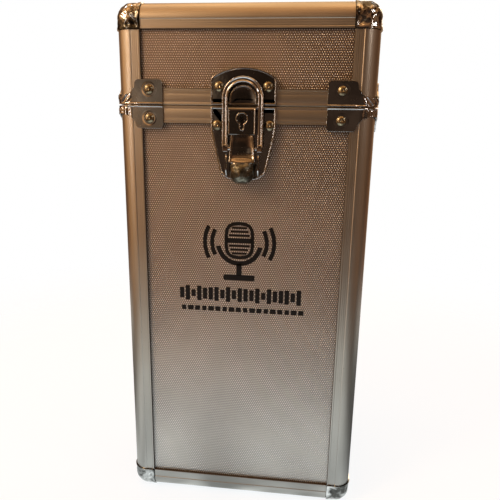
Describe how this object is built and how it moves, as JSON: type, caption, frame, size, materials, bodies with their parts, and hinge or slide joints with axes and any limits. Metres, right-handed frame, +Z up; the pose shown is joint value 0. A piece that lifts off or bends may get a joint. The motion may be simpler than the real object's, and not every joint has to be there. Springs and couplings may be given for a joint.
{
  "type": "upright equipment carrying case",
  "caption": "Tall upright carrying case with aluminium edges, dimpled panels, nickel ball corners, rear hinge, key-lock draw latch, fold-flat handle and foam liners.",
  "frame": {"origin": "middle of the underside of the whole case, on the plane that its ball corners stand on", "axes": "+Z up; the latch side is the front and faces -Y; +X is to the right of someone facing the latch"},
  "size_m": [0.1656, 0.148, 0.3469],
  "materials": {
    "edge_extrusion": "satin anodised, fine lengthwise drawing lines",
    "laminate_panel": "laminate with small raised staggered dimples",
    "nickel_plate": "bright nickel plating",
    "rivet_brass": "dulled brass plating",
    "steel_pin": "bright drawn",
    "liner_foam": "charcoal open-cell foam",
    "handle_plastic": "fine moulded texture",
    "print_ink": "screen-printed ink"
  },
  "bodies": {
    "body": {"body_panel_front": "laminate_panel", "body_panel_back": "laminate_panel", "body_panel_left": "laminate_panel", "body_panel_right": "laminate_panel", "body_panel_bottom": "laminate_panel", "body_post_front_left": "edge_extrusion", "body_post_front_right": "edge_extrusion", "body_post_back_left": "edge_extrusion", "body_post_back_right": "edge_extrusion", "body_bottom_edge_front": "edge_extrusion", "body_bottom_edge_back": "edge_extrusion", "body_bottom_edge_left": "edge_extrusion", "body_bottom_edge_right": "edge_extrusion", "body_rim_frame": "edge_extrusion", "body_ball_corner_front_left": "nickel_plate", "body_ball_corner_front_right": "nickel_plate", "body_ball_corner_back_left": "nickel_plate", "body_ball_corner_back_right": "nickel_plate", "body_bracket_front_left": "nickel_plate", "body_bracket_front_right": "nickel_plate", "body_bracket_back_left": "nickel_plate", "body_bracket_back_right": "nickel_plate", "body_foam_liner": "liner_foam", "latch_base_plate": "nickel_plate", "latch_lever_pin": "steel_pin", "hinge_body_leaf": "nickel_plate", "hinge_pin": "steel_pin"},
    "lid": {"lid_panel_front": "laminate_panel", "lid_panel_back": "laminate_panel", "lid_panel_left": "laminate_panel", "lid_panel_right": "laminate_panel", "lid_panel_top": "laminate_panel", "lid_post_front_left": "edge_extrusion", "lid_post_front_right": "edge_extrusion", "lid_post_back_left": "edge_extrusion", "lid_post_back_right": "edge_extrusion", "lid_top_edge_front": "edge_extrusion", "lid_top_edge_back": "edge_extrusion", "lid_top_edge_left": "edge_extrusion", "lid_top_edge_right": "edge_extrusion", "lid_rim_frame": "edge_extrusion", "lid_ball_corner_front_left": "nickel_plate", "lid_ball_corner_front_right": "nickel_plate", "lid_ball_corner_back_left": "nickel_plate", "lid_ball_corner_back_right": "nickel_plate", "lid_bracket_front_left": "nickel_plate", "lid_bracket_front_right": "nickel_plate", "lid_bracket_back_left": "nickel_plate", "lid_bracket_back_right": "nickel_plate", "lid_foam_liner": "liner_foam", "latch_catch_plate": "nickel_plate", "hinge_lid_leaf": "nickel_plate", "handle_bracket_left": "nickel_plate", "handle_bracket_right": "nickel_plate"},
    "lever": {"latch_lever": "nickel_plate"},
    "bail": {"latch_bail": "nickel_plate"},
    "lock_rotor": {"latch_lock_rotor": "rivet_brass"},
    "handle": {"carry_handle": "handle_plastic"}
  },
  "joints": [
    {"name": "lid_hinge", "type": "hinge", "parent": "body", "child": "lid", "pos_m": [0, 0.0714, 0.2797], "axis": [-1, 0, 0], "range_deg": [0, 100]},
    {"name": "latch_lever_pivot", "type": "hinge", "parent": "body", "child": "lever", "pos_m": [0, -0.0669, 0.2758], "axis": [-1, 0, 0], "range_deg": [0, 110]},
    {"name": "latch_bail_pivot", "type": "hinge", "parent": "lever", "child": "bail", "pos_m": [0, -0.0658, 0.2543], "axis": [-1, 0, 0], "range_deg": [-110, 0]},
    {"name": "lock_rotor_turn", "type": "hinge", "parent": "lever", "child": "lock_rotor", "pos_m": [0, -0.0662, 0.2721], "axis": [0, -1, 0], "range_deg": [0, 90]},
    {"name": "handle_fold", "type": "hinge", "parent": "lid", "child": "handle", "pos_m": [0, 0.003, 0.3424], "axis": [1, 0, 0], "range_deg": [0, 100]}
  ],
  "couplings": [
    {"joint": "latch_bail_pivot", "follows": "latch_lever_pivot", "ratio": -1}
  ]
}
